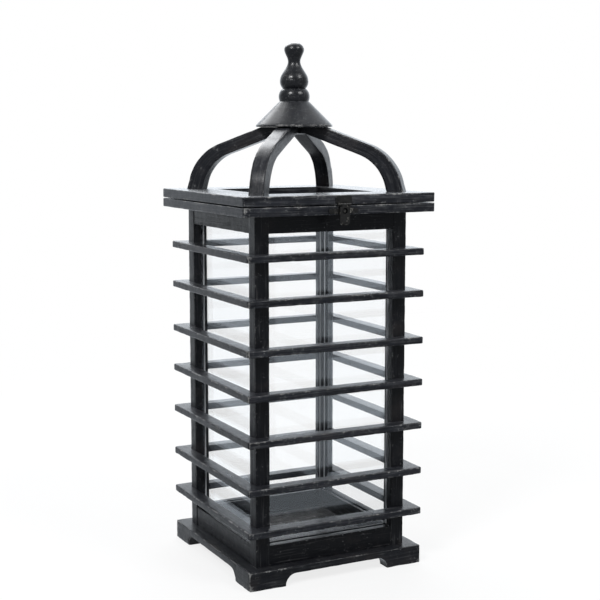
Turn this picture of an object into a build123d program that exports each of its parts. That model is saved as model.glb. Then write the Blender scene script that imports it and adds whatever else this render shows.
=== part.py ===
from build123d import *
import math
import os

# Candle lantern: a square wooden case with glass sides, rings of slats around its posts, and a
# hinged roof of four bent arms that carry a turned cap and finial.
# Millimetres. Origin at the centre of the base, on the surface it stands on. +Z is up, -Y is the front.

# Plinth and floor
base_width = 200.8
plinth_height = 19.5
plinth_thickness = 16.0
plinth_corner_radius = 1.8
plinth_ease = 0.9
front_foot_length = 40.4
side_foot_length = 36.4
arch_height = 12.3
arch_radius = 12.0
floor_thickness = 6.8
floor_clearance = 0.2

# Posts, rails and glass
plinth_step = 13.6
post_size = 15.5
post_length = 357.2
post_ease = 0.8
bottom_rail_height = 20.8
top_rail_height = 18.2
rail_setback = 0.6
groove_setback = 8.6
groove_width = 3.5
groove_depth = 2.2
tongue_clearance = 0.1
glass_thickness = 2.4
glass_clearance = 0.05
glass_end_clearance = 0.3

# Slat rings
slat_depth = 14.4
ring_count = 7
ring_drop = 37.8
ring_rise = 41.7
ring_drift = (0.0, 2.3, -0.8, 0.6, 0.4, -2.2, 0.0)
slat_height = 7.3
slat_corner_radius = 3.0
slat_ease = 1.2

# Top frame and lid frame
lid_overhang = 21.7
lid_board_width = 46.5
top_frame_thickness = 9.3
lid_gap = 0.8
lid_thickness = 9.8
lid_corner_radius = 3.0
lid_ease = 1.1

# Roof arms
arm_thickness = 16.0
arm_foot_depth = 18.0
arm_depth = 13.8
arm_lean = 15.0
arm_slope = 20.2
arm_outer_radius = 57.0
arm_inner_radius = 45.0
arm_root_depth = 7.0
arm_seat_reach = 35.0
roof_height = 66.7

# Cap and finial
cap_radius = 40.7
cap_rim = 2.0
cap_top_radius = 15.6
cap_height = 27.0
bead_base_radius = 15.5
bead_radius = 16.5
bead_level = 4.2
waist_radius = 12.3
waist_level = 13.3
bulb_radius = 15.1
bulb_level = 22.4
neck_radius = 6.7
neck_level = 42.3
knob_radius = 10.5
knob_level = 54.9
finial_height = 61.7
dowel_radius = 4.5
dowel_clearance = 0.1
dowel_end_gap = 1.0

# Nails and screws
nail_radius = 0.6
nail_head_radius = 1.1
nail_head_thickness = 0.5
nail_bite = 6.0
nail_clearance = 0.02
plinth_nail_length = 24.0
plinth_nail_stagger = 6.0
screw_radius = 1.4
screw_head_radius = 2.6
screw_head_depth = 1.2
screw_bite = 12.0
screw_spread = 9.0

# Hinges
hinge_spacing = 110.0
leaf_width = 24.0
leaf_height = 8.2
leaf_thickness = 1.0
barrel_radius = 1.9
barrel_standoff = 0.3
knuckle_length = 8.0
knuckle_gap = 0.25
hinge_pin_radius = 0.95
running_clearance = 0.05
swing_clearance = 0.3
hinge_screw_radius = 0.9
hinge_screw_head_radius = 1.6
hinge_screw_head_height = 0.6
hinge_screw_length = 9.0
hinge_screw_spacing = 15.0

# Latch
latch_plate_width = 18.0
latch_plate_margin = 0.8
latch_plate_thickness = 0.9
latch_plate_corner = 2.2
latch_barrel_radius = 1.7
latch_knuckle_length = 3.5
latch_pin_radius = 0.75
hasp_width = 11.0
hasp_length = 20.5
hasp_thickness = 1.0
hasp_hole_radius = 3.0
hasp_barrel_length = 6.6
hasp_lip = 2.2
hasp_tip_radius = 3.5
catch_length = 33.0
catch_height = 5.0
catch_disc_radius = 3.6
catch_thickness = 0.9
catch_boss_radius = 2.3
catch_boss_height = 1.3
catch_boss_ease = 0.9
catch_drop = 0.6
catch_nail_spacing = 27.0
plate_nail_spacing = 12.0
pin_nail_radius = 0.5
pin_nail_head_radius = 1.0
pin_nail_head_height = 0.5
pin_nail_length = 7.0

# Widths, levels and half widths that follow from the sizes above
post_frame_width = base_width - 2 * plinth_step
ring_width = post_frame_width + 2 * slat_depth
lid_width = post_frame_width + 2 * lid_overhang
lid_opening = lid_width - 2 * lid_board_width
post_top = plinth_height + post_length
frame_top = post_top + top_frame_thickness
lid_bottom = frame_top + lid_gap
lid_top = lid_bottom + lid_thickness
cap_seat = lid_top + roof_height
cap_top = cap_seat + cap_height
bottom_rail_top = plinth_height + bottom_rail_height
top_rail_bottom = post_top - top_rail_height
post_face = post_frame_width / 2
post_inside = post_face - post_size
post_centre = post_face - post_size / 2
groove_outside = post_face - groove_setback
groove_middle = groove_outside - groove_width / 2
lid_face = lid_width / 2
ring_face = ring_width / 2
base_face = base_width / 2
ring_pitch = (post_length - ring_drop - ring_rise) / (ring_count - 1)
ring_tops = [
    post_top - ring_drop - i * ring_pitch + ring_drift[i % len(ring_drift)] for i in range(ring_count)
]

# Hinge and latch axes, both along X at the joint between the top frame and the lid
hinge_axis_y = lid_face + barrel_standoff + barrel_radius
hinge_axis_z = frame_top + lid_gap / 2
hinge_screw_drop = (barrel_radius + swing_clearance + leaf_height) / 2
hinge_screw_spots = [
    end * hinge_spacing / 2 + side * hinge_screw_spacing / 2 for end in (-1, 1) for side in (-1, 1)
]
latch_axis_y = -(lid_face + barrel_standoff + latch_barrel_radius)
latch_axis_z = lid_bottom + barrel_standoff
latch_plate_bottom = latch_axis_z + latch_barrel_radius + swing_clearance
latch_plate_top = lid_top - latch_plate_margin
latch_nail_level = (latch_plate_bottom + latch_plate_top) / 2
catch_level = frame_top - top_frame_thickness / 2 - catch_drop

# Places of the fixings, as distance along a side and level, or on the lid as x and y
plinth_nail_reach = base_face - plinth_thickness / 2
arm_foot_centre = post_centre * math.sqrt(2)
arm_screw_near = (arm_foot_centre - screw_spread / 2) / math.sqrt(2)
arm_screw_far = (arm_foot_centre + screw_spread / 2) / math.sqrt(2)

# Turn of each side and corner about the vertical axis, counted from the front
sides = {"front": 0, "right": 90, "back": 180, "left": 270}
corners = {"front_left": -45, "front_right": 45, "back_right": 135, "back_left": 225}


def side_plane(angle, level=0.0):
    """Level plane turned so that its -Y points out through the side or corner at this angle."""
    return Plane.XY.rotated((0, 0, angle)).offset(level)


def face_plane(angle, distance):
    """Upright plane on the outside of a side: X along the side, Y up, Z outwards."""
    turn = math.radians(angle)
    outwards = (math.sin(turn), -math.cos(turn), 0)
    origin = (distance * outwards[0], distance * outwards[1], 0)
    return Plane(origin=origin, x_dir=(math.cos(turn), math.sin(turn), 0), z_dir=outwards)


def cross_plane(x, y, z):
    """Plane square to the X axis at a point of a hinge or latch axis."""
    return Plane(origin=(x, y, z), x_dir=(0, 1, 0), z_dir=(1, 0, 0))


def save(shape, name):
    """Label a finished piece, or a group of like pieces, and write its file."""
    shape.label = name
    export_step(shape, f"parts/{name}.step")


def mitred_board(angle, level, width, opening, thickness, corner_radius, ease):
    """One side of a square frame, cut at 45 degrees where it meets its neighbours."""
    with BuildPart() as board:
        with BuildSketch(side_plane(angle, level)):
            RectangleRounded(width, width, corner_radius)
            Rectangle(opening, opening, mode=Mode.SUBTRACT)
            Polygon((0, 0), (-width, -width), (width, -width), align=None, mode=Mode.INTERSECT)
        extrude(amount=thickness)
        corner_arcs = board.edges().filter_by(GeomType.CIRCLE)
        outer_runs = board.edges().filter_by(GeomType.LINE).sort_by(SortBy.LENGTH)[-2:]
        fillet(corner_arcs + outer_runs, ease)
    return board.part


def stud(plane, spots, radius, length, head_radius, head_height):
    """Round nails or screws on a plane: shanks go in from it, heads stand out, or lie in if negative."""
    pieces = []
    for spot in spots:
        with BuildPart() as pin:
            with BuildSketch(plane):
                with Locations(spot):
                    Circle(radius)
            extrude(amount=-length)
            with BuildSketch(plane):
                with Locations(spot):
                    Circle(head_radius)
            extrude(amount=head_height)
        pieces.append(pin.part)
    return pieces


def plinth_nail_spots(angle):
    """Places of a plinth board's two nails: high on the front and back, low on the other two sides."""
    sense = 1 if angle % 180 == 0 else -1
    level = plinth_height / 2 + sense * plinth_nail_stagger / 2
    return [(end * plinth_nail_reach, level) for end in (-1, 1)]


def plinth_board(angle):
    """Mitred board of the plinth, cut away between its two bracket feet."""
    foot_length = front_foot_length if angle % 180 == 0 else side_foot_length
    with BuildPart() as board:
        add(mitred_board(angle, 0, base_width, base_width - 2 * plinth_thickness, plinth_height,
                         plinth_corner_radius, plinth_ease))
        with BuildSketch(face_plane(angle, base_face)) as arch:
            Rectangle(base_width - 2 * foot_length, arch_height, align=(Align.CENTER, Align.MIN))
            fillet(arch.vertices().group_by(Axis.Y)[-1], arch_radius)
        extrude(amount=-plinth_thickness, mode=Mode.SUBTRACT)
        for turn in (angle - 90, angle, angle + 90):
            with BuildSketch(face_plane(turn, base_face)):
                with Locations(*plinth_nail_spots(turn)):
                    Circle(nail_radius + nail_clearance)
            extrude(amount=-plinth_nail_length, mode=Mode.SUBTRACT)
        with BuildSketch(face_plane(angle, base_face)):
            with Locations(*plinth_nail_spots(angle)):
                Circle(nail_head_radius + nail_clearance)
        extrude(amount=-nail_head_thickness, mode=Mode.SUBTRACT)
    return board.part


def floor_board():
    """Square board that fills the plinth, level with its top."""
    width = base_width - 2 * (plinth_thickness + floor_clearance)
    with BuildPart() as board:
        with BuildSketch(Plane.XY.offset(plinth_height)):
            Rectangle(width, width)
        extrude(amount=-floor_thickness)
    return board.part


def post(angle):
    """Corner post with a glass groove in each inner face and a hole for every slat nail."""
    first_side = angle - 45
    second_side = angle + 45
    nail_levels = [top - slat_height / 2 for top in ring_tops]
    with BuildPart() as stick:
        with BuildSketch(side_plane(first_side, plinth_height)):
            with Locations((post_centre, -post_centre)):
                RectangleRounded(post_size, post_size, post_ease)
            with Locations((post_inside, -groove_middle)):
                Rectangle(2 * groove_depth, groove_width, mode=Mode.SUBTRACT)
            with Locations((groove_middle, -post_inside)):
                Rectangle(groove_width, 2 * groove_depth, mode=Mode.SUBTRACT)
        extrude(amount=post_length)
        for turn, across in ((first_side, post_centre), (second_side, -post_centre)):
            with BuildSketch(face_plane(turn, post_face)):
                with Locations(*[(across, level) for level in nail_levels]):
                    Circle(nail_radius + nail_clearance)
            extrude(amount=-nail_bite, mode=Mode.SUBTRACT)
    return stick.part


def rail(angle, level, height, groove_level):
    """Rail between two posts, with a glass groove and a tongue at each end in the posts' grooves."""
    depth = post_size - rail_setback
    tongue_span = 2 * (post_inside + groove_depth - tongue_clearance)
    with BuildPart() as bar:
        with BuildSketch(side_plane(angle, level)):
            with Locations((0, -(post_inside + depth / 2))):
                Rectangle(2 * post_inside, depth)
            with Locations((0, -groove_middle)):
                Rectangle(tongue_span, groove_width - 2 * tongue_clearance)
        extrude(amount=height)
        with BuildSketch(side_plane(angle, groove_level - groove_depth)):
            with Locations((0, -groove_middle)):
                Rectangle(tongue_span, groove_width)
        extrude(amount=2 * groove_depth, mode=Mode.SUBTRACT)
    return bar.part


def pane(angle):
    """Sheet of glass in the grooves of two posts and two rails."""
    low = bottom_rail_top - groove_depth
    high = top_rail_bottom + groove_depth - glass_end_clearance
    with BuildPart() as sheet:
        with BuildSketch(side_plane(angle, low)):
            with Locations((0, -(groove_outside - glass_clearance - glass_thickness / 2))):
                Rectangle(2 * (post_inside + groove_depth - glass_end_clearance), glass_thickness)
        extrude(amount=high - low)
    return sheet.part


def glazing_strips(angle):
    """Pale strips that fill the posts' grooves behind both upright edges of a pane."""
    width = groove_depth - tongue_clearance
    thickness = groove_width - glass_thickness - 3 * glass_clearance
    middle = groove_outside - groove_width + glass_clearance + thickness / 2
    pieces = []
    for end in (-1, 1):
        with BuildPart() as strip:
            with BuildSketch(side_plane(angle, bottom_rail_top)):
                with Locations((end * (post_inside + width / 2), -middle)):
                    Rectangle(width, thickness)
            extrude(amount=top_rail_bottom - bottom_rail_top)
        pieces.append(strip.part)
    return pieces


def slat_spots(top):
    """Places of a slat's two nails, one in front of each post."""
    return [(end * post_centre, top - slat_height / 2) for end in (-1, 1)]


def slat(angle, top):
    """One slat of a ring, mitred at the corners and drilled for its two nails."""
    with BuildPart() as board:
        add(mitred_board(angle, top - slat_height, ring_width, post_frame_width, slat_height,
                         slat_corner_radius, slat_ease))
        with BuildSketch(face_plane(angle, ring_face)):
            with Locations(*slat_spots(top)):
                Circle(nail_radius + nail_clearance)
        extrude(amount=-slat_depth, mode=Mode.SUBTRACT)
        with BuildSketch(face_plane(angle, ring_face)):
            with Locations(*slat_spots(top)):
                Circle(nail_head_radius + nail_clearance)
        extrude(amount=-nail_head_thickness, mode=Mode.SUBTRACT)
    return board.part


def top_frame_board(angle):
    """Mitred board on the posts, drilled in front for the latch catch and behind for the hinges."""
    with BuildPart() as board:
        add(mitred_board(angle, post_top, lid_width, lid_opening, top_frame_thickness,
                         lid_corner_radius, lid_ease))
        if angle == sides["front"]:
            with BuildSketch(face_plane(angle, lid_face)):
                with Locations((0, catch_level)):
                    with GridLocations(catch_nail_spacing, 0, 2, 1):
                        Circle(pin_nail_radius + nail_clearance)
            extrude(amount=-pin_nail_length, mode=Mode.SUBTRACT)
        if angle == sides["back"]:
            with BuildSketch(face_plane(angle, lid_face)):
                with Locations(*[(x, hinge_axis_z - hinge_screw_drop) for x in hinge_screw_spots]):
                    Circle(hinge_screw_radius + nail_clearance)
            extrude(amount=-hinge_screw_length, mode=Mode.SUBTRACT)
    return board.part


def lid_rail(angle):
    """Mitred board of the lid, drilled for the arm screws and for the latch plate or hinges."""
    with BuildPart() as board:
        add(mitred_board(angle, lid_bottom, lid_width, lid_opening, lid_thickness,
                         lid_corner_radius, lid_ease))
        with BuildSketch(side_plane(angle, lid_bottom)):
            with Locations((0, -arm_screw_far)):
                with GridLocations(2 * arm_screw_near, 0, 2, 1):
                    Circle(screw_radius + nail_clearance)
        extrude(amount=lid_thickness, mode=Mode.SUBTRACT)
        with BuildSketch(side_plane(angle, lid_bottom)):
            with Locations((0, -arm_screw_far)):
                with GridLocations(2 * arm_screw_near, 0, 2, 1):
                    Circle(screw_head_radius + nail_clearance)
        extrude(amount=screw_head_depth, mode=Mode.SUBTRACT)
        if angle == sides["front"]:
            with BuildSketch(face_plane(angle, lid_face)):
                with Locations((0, latch_nail_level)):
                    with GridLocations(plate_nail_spacing, 0, 2, 1):
                        Circle(pin_nail_radius + nail_clearance)
            extrude(amount=-pin_nail_length, mode=Mode.SUBTRACT)
        if angle == sides["back"]:
            with BuildSketch(face_plane(angle, lid_face)):
                with Locations(*[(x, hinge_axis_z + hinge_screw_drop) for x in hinge_screw_spots]):
                    Circle(hinge_screw_radius + nail_clearance)
            extrude(amount=-hinge_screw_length, mode=Mode.SUBTRACT)
    return board.part


def arm_outline():
    """Corner points of an arm in its upright plane, as distance from the axis and level."""
    lean = math.tan(math.radians(arm_lean))
    slope = math.tan(math.radians(arm_slope))
    foot_out = arm_foot_centre + arm_foot_depth / 2
    foot_in = arm_foot_centre - arm_foot_depth / 2
    drop = arm_depth / math.cos(math.radians(arm_slope))

    def shoulder(foot, top_level):
        """Where the leaning foot's edge meets the sloping edge that passes top_level at the seat reach."""
        rise = (top_level - lid_top - slope * (foot - arm_seat_reach)) / (1 - lean * slope)
        return (foot - lean * rise, lid_top + rise)

    root = cap_seat - arm_root_depth
    root_reach = arm_seat_reach + (cap_seat - drop - root) / slope
    return {
        "foot_out": (foot_out, lid_top),
        "shoulder_out": shoulder(foot_out, cap_seat),
        "seat": (arm_seat_reach, cap_seat),
        "top": (0, cap_seat),
        "root": (0, root),
        "root_in": (root_reach, root),
        "shoulder_in": shoulder(foot_in, cap_seat - drop),
        "foot_in": (foot_in, lid_top),
    }


def arm(angle):
    """Bent arm from a corner of the lid to the cap, mitred to its three neighbours on the axis."""
    outline = arm_outline()
    turn = math.radians(angle)
    outwards = (math.sin(turn), -math.cos(turn), 0)
    sideways = (outwards[1], -outwards[0], 0)
    with BuildPart() as bow:
        with BuildSketch(Plane(origin=(0, 0, 0), x_dir=outwards, z_dir=sideways)) as profile:
            Polygon(*outline.values(), align=None)
            for name, radius in (("shoulder_out", arm_outer_radius), ("shoulder_in", arm_inner_radius)):
                fillet(profile.vertices().sort_by_distance(Vector(*outline[name]))[0], radius)
        extrude(amount=arm_thickness / 2, both=True)
        with BuildSketch(side_plane(angle, lid_top)):
            Polygon((0, 0), (-lid_width, -lid_width), (lid_width, -lid_width), align=None)
        extrude(amount=roof_height, mode=Mode.INTERSECT)
        with BuildSketch(Plane.XY.offset(cap_seat)):
            Circle(dowel_radius + dowel_clearance)
        extrude(amount=-arm_root_depth, mode=Mode.SUBTRACT)
        with BuildSketch(side_plane(angle, lid_top)):
            with Locations((0, -arm_foot_centre)):
                with GridLocations(screw_spread, 0, 2, 1):
                    Circle(screw_radius + nail_clearance)
        extrude(amount=screw_bite, mode=Mode.SUBTRACT)
    return bow.part


def arm_screws(angle):
    """Two screws up through the lid into an arm's foot, one in each lid rail."""
    spots = [(end * screw_spread / 2, arm_foot_centre) for end in (-1, 1)]
    under_lid = Plane(
        origin=(0, 0, lid_bottom), x_dir=side_plane(angle).x_dir, z_dir=(0, 0, -1)
    )
    return stud(under_lid, spots, screw_radius, lid_thickness + screw_bite,
                screw_head_radius, -screw_head_depth)


def cap():
    """Turned cone on the arms, with a low rim and a bore for the finial's dowel."""
    bore = dowel_radius + dowel_clearance
    with BuildPart() as cone:
        with BuildSketch(Plane.XZ):
            Polygon((bore, cap_seat), (cap_radius, cap_seat), (cap_radius, cap_seat + cap_rim),
                    (cap_top_radius, cap_top), (bore, cap_top), align=None)
        revolve(axis=Axis.Z)
    return cone.part


def finial():
    """Turned finial: bead, pear, neck and knob, with a dowel through the cap into the arms."""
    dowel_end = cap_seat - arm_root_depth + dowel_end_gap
    with BuildPart() as turning:
        with BuildSketch(Plane.XZ):
            with BuildLine():
                Polyline((0, dowel_end), (dowel_radius, dowel_end), (dowel_radius, cap_top),
                         (bead_base_radius, cap_top))
                ThreePointArc((bead_base_radius, cap_top), (bead_radius, cap_top + bead_level),
                              (waist_radius, cap_top + waist_level))
                Spline((waist_radius, cap_top + waist_level), (bulb_radius, cap_top + bulb_level),
                       (neck_radius, cap_top + neck_level), (knob_radius, cap_top + knob_level),
                       (0, cap_top + finial_height), tangents=((1, 1), (-1, 0)))
                Line((0, cap_top + finial_height), (0, dowel_end))
            make_face()
        revolve(axis=Axis.Z)
    return turning.part


def barrel(x, y, z, length, radius):
    """Round barrel along X from this point, before it is bored."""
    with BuildPart() as tube:
        with BuildSketch(cross_plane(x, y, z)):
            Circle(radius)
        extrude(amount=length)
    return tube.part


def hinge_leaf(centre, upper):
    """Hinge leaf on the back of the frame or lid: two end knuckles below, one middle knuckle above."""
    sense = 1 if upper else -1
    near = barrel_radius + swing_clearance
    middle_length = leaf_width - 2 * (knuckle_length + knuckle_gap)
    if upper:
        knuckles = [(centre, middle_length)]
    else:
        offset = (leaf_width - knuckle_length) / 2
        knuckles = [(centre - offset, knuckle_length), (centre + offset, knuckle_length)]
    with BuildPart() as leaf:
        with BuildSketch(face_plane(sides["back"], lid_face)):
            with Locations((-centre, hinge_axis_z + sense * (near + leaf_height) / 2)):
                Rectangle(leaf_width, leaf_height - near)
            for x, length in knuckles:
                with Locations((-x, hinge_axis_z + sense * near / 2)):
                    Rectangle(length, near)
        extrude(amount=leaf_thickness)
        for x, length in knuckles:
            add(barrel(x - length / 2, hinge_axis_y, hinge_axis_z, length, barrel_radius))
        with BuildSketch(cross_plane(centre - leaf_width / 2, hinge_axis_y, hinge_axis_z)):
            Circle(hinge_pin_radius + running_clearance)
        extrude(amount=leaf_width, mode=Mode.SUBTRACT)
        with BuildSketch(face_plane(sides["back"], lid_face)):
            with Locations((-centre, hinge_axis_z + sense * hinge_screw_drop)):
                with GridLocations(hinge_screw_spacing, 0, 2, 1):
                    Circle(hinge_screw_radius + nail_clearance)
        extrude(amount=leaf_thickness, mode=Mode.SUBTRACT)
    return leaf.part


def hinge_screws(sense):
    """Round-headed screws through the two leaves below the axis (-1) or above it (1)."""
    spots = [(x, hinge_axis_z + sense * hinge_screw_drop) for x in hinge_screw_spots]
    return stud(face_plane(sides["back"], lid_face + leaf_thickness), spots, hinge_screw_radius,
                hinge_screw_length, hinge_screw_head_radius, hinge_screw_head_height)


def latch_plate():
    """Plate on the front of the lid, with two knuckles for the hasp's pin."""
    knuckle_start = hasp_barrel_length / 2 + knuckle_gap
    knuckle_middle = knuckle_start + latch_knuckle_length / 2
    height = latch_plate_top - latch_plate_bottom
    with BuildPart() as plate:
        with BuildSketch(face_plane(sides["front"], lid_face)) as outline:
            with Locations((0, latch_plate_bottom)):
                Rectangle(latch_plate_width, height, align=(Align.CENTER, Align.MIN))
            fillet(outline.vertices().group_by(Axis.Y)[-1], latch_plate_corner)
            with Locations((0, latch_axis_z)):
                with GridLocations(2 * knuckle_middle, 0, 2, 1):
                    Rectangle(latch_knuckle_length, latch_plate_bottom - latch_axis_z,
                              align=(Align.CENTER, Align.MIN))
            with Locations((0, latch_nail_level)):
                with GridLocations(plate_nail_spacing, 0, 2, 1):
                    Circle(pin_nail_radius + nail_clearance, mode=Mode.SUBTRACT)
        extrude(amount=latch_plate_thickness)
        for start in (knuckle_start, -knuckle_start - latch_knuckle_length):
            add(barrel(start, latch_axis_y, latch_axis_z, latch_knuckle_length, latch_barrel_radius))
        with BuildSketch(cross_plane(-latch_plate_width / 2, latch_axis_y, latch_axis_z)):
            Circle(latch_pin_radius + running_clearance)
        extrude(amount=latch_plate_width, mode=Mode.SUBTRACT)
    return plate.part


def latch_hasp():
    """Swinging hasp: a barrel on the pin, a holed tongue over the catch and a lip to lift it by."""
    front = lid_face + barrel_standoff + 2 * latch_barrel_radius
    neck = latch_barrel_radius + swing_clearance
    tip = latch_axis_z - hasp_length
    with BuildPart() as hasp:
        with BuildSketch(face_plane(sides["front"], front)) as outline:
            with Locations((0, tip)):
                Rectangle(hasp_width, hasp_length - neck, align=(Align.CENTER, Align.MIN))
            fillet(outline.vertices().group_by(Axis.Y)[0], hasp_tip_radius)
            with Locations((0, latch_axis_z)):
                Rectangle(hasp_barrel_length, neck, align=(Align.CENTER, Align.MAX))
            with Locations((0, catch_level)):
                Circle(hasp_hole_radius, mode=Mode.SUBTRACT)
        extrude(amount=-hasp_thickness)
        with BuildSketch(face_plane(sides["front"], front)):
            with Locations((0, tip)):
                Rectangle(hasp_width - 2 * hasp_tip_radius, hasp_thickness,
                          align=(Align.CENTER, Align.MIN))
        extrude(amount=hasp_lip)
        add(barrel(-hasp_barrel_length / 2, latch_axis_y, latch_axis_z, hasp_barrel_length,
                   latch_barrel_radius))
        with BuildSketch(cross_plane(-hasp_barrel_length / 2, latch_axis_y, latch_axis_z)):
            Circle(latch_pin_radius + running_clearance)
        extrude(amount=hasp_barrel_length, mode=Mode.SUBTRACT)
    return hasp.part


def latch_catch():
    """Winged plate on the front of the top frame, with a low round boss for the hasp's hole."""
    with BuildPart() as plate:
        with BuildSketch(face_plane(sides["front"], lid_face)):
            with Locations((0, catch_level)):
                SlotOverall(catch_length, catch_height)
                Circle(catch_disc_radius)
                with GridLocations(catch_nail_spacing, 0, 2, 1):
                    Circle(pin_nail_radius + nail_clearance, mode=Mode.SUBTRACT)
        extrude(amount=catch_thickness)
        with BuildSketch(face_plane(sides["front"], lid_face + catch_thickness)):
            with Locations((0, catch_level)):
                Circle(catch_boss_radius)
        extrude(amount=catch_boss_height)
        fillet(plate.faces().sort_by(Axis.Y)[0].edges(), catch_boss_ease)
    return plate.part


def main():
    """Build every piece and write one file for each node."""
    os.makedirs("parts", exist_ok=True)
    front = sides["front"]

    for side, angle in sides.items():
        save(plinth_board(angle), f"plinth_{side}")
        save(rail(angle, plinth_height, bottom_rail_height, bottom_rail_top), f"bottom_rail_{side}")
        save(rail(angle, top_rail_bottom, top_rail_height, top_rail_bottom), f"top_rail_{side}")
        save(pane(angle), f"pane_{side}")
        save(top_frame_board(angle), f"top_frame_{side}")
        save(lid_rail(angle), f"lid_rail_{side}")
    save(floor_board(), "floor_board")
    for corner, angle in corners.items():
        save(post(angle), f"post_{corner}")
        save(arm(angle), f"arm_{corner}")
    strips = [strip for angle in sides.values() for strip in glazing_strips(angle)]
    save(Compound(children=strips), "glazing_strips")

    for number, top in enumerate(ring_tops, start=1):
        save(Compound(children=[slat(angle, top) for angle in sides.values()]), f"slat_ring_{number}")
    slat_nails = [
        pin
        for top in ring_tops
        for angle in sides.values()
        for pin in stud(face_plane(angle, ring_face), slat_spots(top), nail_radius,
                        slat_depth + nail_bite, nail_head_radius, -nail_head_thickness)
    ]
    save(Compound(children=slat_nails), "slat_nails")
    plinth_nails = [
        pin
        for angle in sides.values()
        for pin in stud(face_plane(angle, base_face), plinth_nail_spots(angle), nail_radius,
                        plinth_nail_length, nail_head_radius, -nail_head_thickness)
    ]
    save(Compound(children=plinth_nails), "plinth_nails")

    save(cap(), "cap")
    save(finial(), "finial")
    screws = [screw for angle in corners.values() for screw in arm_screws(angle)]
    save(Compound(children=screws), "arm_screws")

    for name, centre in (("left", -hinge_spacing / 2), ("right", hinge_spacing / 2)):
        save(hinge_leaf(centre, upper=False), f"hinge_lower_leaf_{name}")
        save(hinge_leaf(centre, upper=True), f"hinge_upper_leaf_{name}")
    pins = [
        barrel(end * hinge_spacing / 2 - leaf_width / 2, hinge_axis_y, hinge_axis_z, leaf_width,
               hinge_pin_radius)
        for end in (-1, 1)
    ]
    save(Compound(children=pins), "hinge_pins")
    save(Compound(children=hinge_screws(-1)), "hinge_lower_screws")
    save(Compound(children=hinge_screws(1)), "hinge_upper_screws")

    save(latch_plate(), "latch_plate")
    save(latch_hasp(), "latch_hasp")
    save(latch_catch(), "latch_catch")
    pin_half = hasp_barrel_length / 2 + knuckle_gap + latch_knuckle_length
    save(barrel(-pin_half, latch_axis_y, latch_axis_z, 2 * pin_half, latch_pin_radius), "latch_pin")
    plate_spots = [(end * plate_nail_spacing / 2, latch_nail_level) for end in (-1, 1)]
    plate_nails = stud(face_plane(front, lid_face + latch_plate_thickness), plate_spots,
                       pin_nail_radius, pin_nail_length, pin_nail_head_radius, pin_nail_head_height)
    save(Compound(children=plate_nails), "latch_plate_nails")
    catch_spots = [(end * catch_nail_spacing / 2, catch_level) for end in (-1, 1)]
    catch_nails = stud(face_plane(front, lid_face + catch_thickness), catch_spots,
                       pin_nail_radius, pin_nail_length, pin_nail_head_radius, pin_nail_head_height)
    save(Compound(children=catch_nails), "latch_catch_nails")


main()
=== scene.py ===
import logging
import math
from dataclasses import dataclass, field, replace
from enum import Enum
from functools import partial
from typing import Any, Callable, Sequence, Union

import bpy
import numpy as np
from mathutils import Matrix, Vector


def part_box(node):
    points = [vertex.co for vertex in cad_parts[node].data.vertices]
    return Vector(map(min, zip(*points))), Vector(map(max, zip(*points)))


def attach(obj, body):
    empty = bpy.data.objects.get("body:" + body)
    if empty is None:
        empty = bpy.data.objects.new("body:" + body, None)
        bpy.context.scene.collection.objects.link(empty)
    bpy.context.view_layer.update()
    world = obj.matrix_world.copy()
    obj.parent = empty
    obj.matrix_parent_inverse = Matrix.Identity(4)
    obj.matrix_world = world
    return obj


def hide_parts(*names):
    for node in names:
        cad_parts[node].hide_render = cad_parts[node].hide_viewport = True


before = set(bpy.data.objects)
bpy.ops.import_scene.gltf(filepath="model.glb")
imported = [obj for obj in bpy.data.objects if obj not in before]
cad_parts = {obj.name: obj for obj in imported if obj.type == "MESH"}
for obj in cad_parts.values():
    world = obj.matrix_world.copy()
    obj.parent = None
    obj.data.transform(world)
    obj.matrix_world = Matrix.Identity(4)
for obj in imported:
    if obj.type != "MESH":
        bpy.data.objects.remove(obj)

LOG = logging.getLogger("lantern")
Array = np.ndarray
Triple = tuple[float, float, float]
MM = 0.001
SHARP_ANGLE = 38.0
WHITE = (1.0, 1.0, 1.0)
SMALLEST = 1e-9
HASH_AXES = (73856093, 19349663, 83492791)
HASH_SEED = 2654435761
HASH_MIX = 1274126177
HASH_TOP = 0xFFFF


class Body(Enum):
    """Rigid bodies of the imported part."""

    CASE = "case"
    ROOF = "roof"
    HASP = "hasp"


class Slot(Enum):
    """Material slots of the record."""

    WOOD = "stained_wood"
    TURNED = "turned_wood"
    GLASS = "clear_glass"
    STRIP = "pale_strip"
    BRONZE = "aged_bronze"
    STEEL = "dark_steel"


class Turn(Enum):
    """Place on the case, valued by its turn about the vertical axis in degrees from the front."""

    @property
    def word(self) -> str:
        """Name of the place as the CAD nodes spell it."""
        return self.name.lower()


class Side(Turn):
    """Sides of the case."""

    FRONT = 0
    RIGHT = 90
    BACK = 180
    LEFT = 270


class Corner(Turn):
    """Corners of the case."""

    FRONT_LEFT = -45
    FRONT_RIGHT = 45
    BACK_RIGHT = 135
    BACK_LEFT = 225


def value_noise(points: Array, seed: int) -> Array:
    """Smooth random field: a hashed value at every lattice point, blended with eased weights.

    Args:
        points: Places in lattice units, shape (..., 3).
        seed: Number that picks one field out of many.

    Returns:
        Values from 0 to 1, shape (...).
    """
    base = np.floor(points).astype(np.int64)
    part = points - base
    ease = part * part * (3.0 - 2.0 * part)
    total = np.zeros(points.shape[:-1])
    for corner in np.ndindex(2, 2, 2):
        spot = base + np.array(corner)
        x, y, z = (spot[..., axis] * HASH_AXES[axis] for axis in range(3))
        code = x ^ y ^ z ^ seed * HASH_SEED
        code = (code ^ (code >> 13)) * HASH_MIX
        value = ((code ^ (code >> 16)) & HASH_TOP) / HASH_TOP
        weight = np.prod(np.where(np.array(corner) == 1, ease, 1.0 - ease), axis=-1)
        total += weight * value
    return total


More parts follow.
